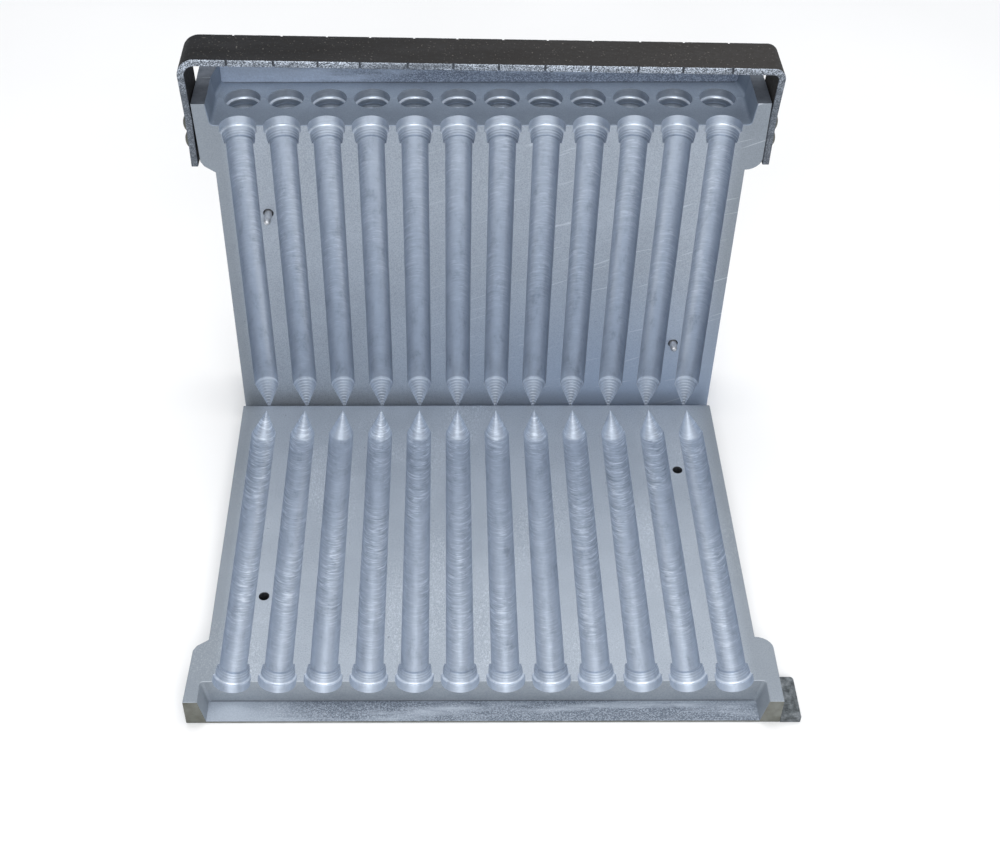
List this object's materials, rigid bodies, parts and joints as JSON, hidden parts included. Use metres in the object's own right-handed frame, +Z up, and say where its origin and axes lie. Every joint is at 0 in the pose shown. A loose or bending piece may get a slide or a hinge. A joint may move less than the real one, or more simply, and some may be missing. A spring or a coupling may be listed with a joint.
{
  "type": "candle mold",
  "caption": "Three hinged aluminium plates with stepped half-round cavities that close on two rows of taper candles, with a pour trough and a notched steel wick strap.",
  "frame": {"origin": "centre of the front plate's underside, on the table", "axes": "+X along the row of candles to the steel lug's side, +Y from the front plate's pour end towards the standing plates, +Z up"},
  "size_m": [0.4401, 0.3729, 0.3445],
  "materials": {
    "aluminium": "satin machined, ring tool marks in the cavities",
    "strap_steel": "dark oxidised flat bar with sawn edges",
    "lug_steel": "dark mottled mill scale",
    "hinge_steel": "plain rolled strip",
    "rivet": "dull olive grey, hammered",
    "pin_steel": "ground",
    "screw_steel": "plain zinc"
  },
  "bodies": {
    "front": {"front_plate": "aluminium", "clamp_lug": "lug_steel", "clamp_lug_screw_1": "screw_steel", "clamp_lug_screw_2": "screw_steel", "hinge_pin_front_left": "pin_steel", "hinge_pin_front_right": "pin_steel"},
    "middle": {"middle_plate": "aluminium", "wick_strap": "strap_steel", "strap_rivet_left_lower": "rivet", "strap_rivet_left_upper": "rivet", "strap_rivet_right_lower": "rivet", "strap_rivet_right_upper": "rivet", "dowel_front_left": "pin_steel", "dowel_front_right": "pin_steel", "dowel_back_left": "pin_steel", "dowel_back_right": "pin_steel", "hinge_strap_left": "hinge_steel", "hinge_strap_right": "hinge_steel", "hinge_screw_left_1": "screw_steel", "hinge_screw_left_2": "screw_steel", "hinge_screw_right_1": "screw_steel", "hinge_screw_right_2": "screw_steel"},
    "back": {"back_plate": "aluminium", "hinge_pin_back_left": "pin_steel", "hinge_pin_back_right": "pin_steel"}
  },
  "joints": [
    {"name": "front_opening", "type": "hinge", "parent": "front", "child": "middle", "pos_m": [0, 0.14625, 0.0113], "axis": [1, 0, 0], "range_deg": [0, 90]},
    {"name": "back_opening", "type": "hinge", "parent": "middle", "child": "back", "pos_m": [0, 0.21025, 0.0113], "axis": [-1, 0, 0], "range_deg": [0, 90]}
  ]
}
